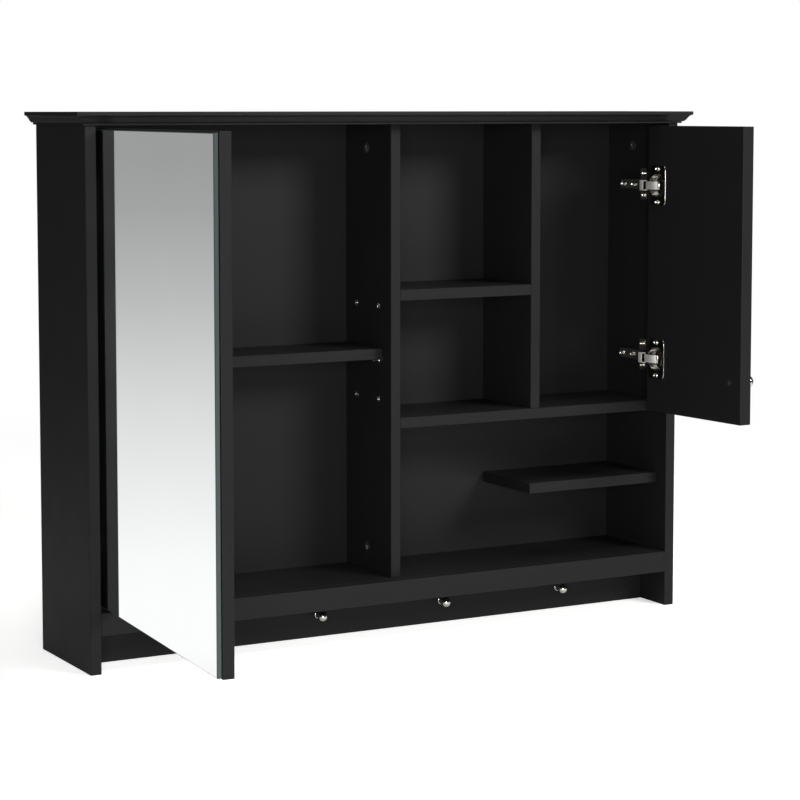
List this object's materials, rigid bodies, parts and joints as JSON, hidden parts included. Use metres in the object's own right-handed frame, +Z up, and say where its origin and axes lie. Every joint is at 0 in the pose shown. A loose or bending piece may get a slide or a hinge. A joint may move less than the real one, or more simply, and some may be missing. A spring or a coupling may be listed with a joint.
{
  "type": "medicine cabinet",
  "caption": "Wall cabinet with a moulded top, a hinged mirror door, a small hinged door, an open bay and niche between shelves, and a rail of small towel knobs below.",
  "frame": {"origin": "on the wall plane, midway between the two wall-screw holes in the hanging rail", "axes": "+X to the right along the wall seen from the front, +Y into the wall, +Z up"},
  "size_m": [0.9474, 0.5967, 0.723],
  "materials": {
    "black_lacquered_board": "satin black lacquer on board",
    "black_hardboard": "satin black faced hardboard",
    "mirror_glass": "silvered, with ground edges",
    "foam_tape": "matt",
    "polished_nickel": "polished nickel plate",
    "nickel_plated_steel": "bright nickel plate",
    "zinc_casting": "as cast",
    "zinc_plated_steel": "zinc plate",
    "beech": "bare"
  },
  "bodies": {
    "carcass": {"adjustable_shelf": "black_lacquered_board", "back_panel": "black_hardboard", "back_tacks": "zinc_plated_steel", "bottom_board": "black_lacquered_board", "cam_bolts": "zinc_plated_steel", "cam_locks": "zinc_casting", "front_rail": "black_lacquered_board", "hanging_rail": "black_lacquered_board", "left_hinge_plate_screws": "nickel_plated_steel", "left_lower_hinge_arm": "nickel_plated_steel", "left_lower_hinge_plate": "nickel_plated_steel", "left_upper_hinge_arm": "nickel_plated_steel", "left_upper_hinge_plate": "nickel_plated_steel", "long_divider": "black_lacquered_board", "lower_back_rail": "black_lacquered_board", "middle_board": "black_lacquered_board", "moulded_top": "black_lacquered_board", "niche_shelf": "black_lacquered_board", "open_bay_shelf": "black_lacquered_board", "rail_dowels": "beech", "right_hinge_plate_screws": "nickel_plated_steel", "right_lower_hinge_arm": "nickel_plated_steel", "right_lower_hinge_plate": "nickel_plated_steel", "right_upper_hinge_arm": "nickel_plated_steel", "right_upper_hinge_plate": "nickel_plated_steel", "shelf_pin_sleeves": "nickel_plated_steel", "shelf_pins": "zinc_plated_steel", "short_divider": "black_lacquered_board", "side_panel_left": "black_lacquered_board", "side_panel_right": "black_lacquered_board", "towel_knob_1": "polished_nickel", "towel_knob_2": "polished_nickel", "towel_knob_3": "polished_nickel", "towel_knob_4": "polished_nickel", "towel_knob_rail": "black_lacquered_board", "towel_knob_screws": "zinc_plated_steel", "wood_dowels": "beech"},
    "left_door": {"left_door_mirror": "mirror_glass", "left_door_panel": "black_lacquered_board", "left_hinge_cup_screws": "nickel_plated_steel", "left_lower_hinge_cup": "nickel_plated_steel", "left_lower_hinge_link": "nickel_plated_steel", "left_upper_hinge_cup": "nickel_plated_steel", "left_upper_hinge_link": "nickel_plated_steel", "mirror_tapes": "foam_tape"},
    "right_door": {"door_knob": "polished_nickel", "door_knob_screw": "zinc_plated_steel", "right_door_panel": "black_lacquered_board", "right_hinge_cup_screws": "nickel_plated_steel", "right_lower_hinge_cup": "nickel_plated_steel", "right_lower_hinge_link": "nickel_plated_steel", "right_upper_hinge_cup": "nickel_plated_steel", "right_upper_hinge_link": "nickel_plated_steel"}
  },
  "joints": [
    {"name": "left_door_hinge", "type": "hinge", "parent": "carcass", "child": "left_door", "pos_m": [-0.43, -0.168, 0], "axis": [0, 0, -1], "range_deg": [-94.2, 10]},
    {"name": "right_door_hinge", "type": "hinge", "parent": "carcass", "child": "right_door", "pos_m": [0.43, -0.168, 0], "axis": [0, 0, 1], "range_deg": [-94.2, 10]}
  ]
}
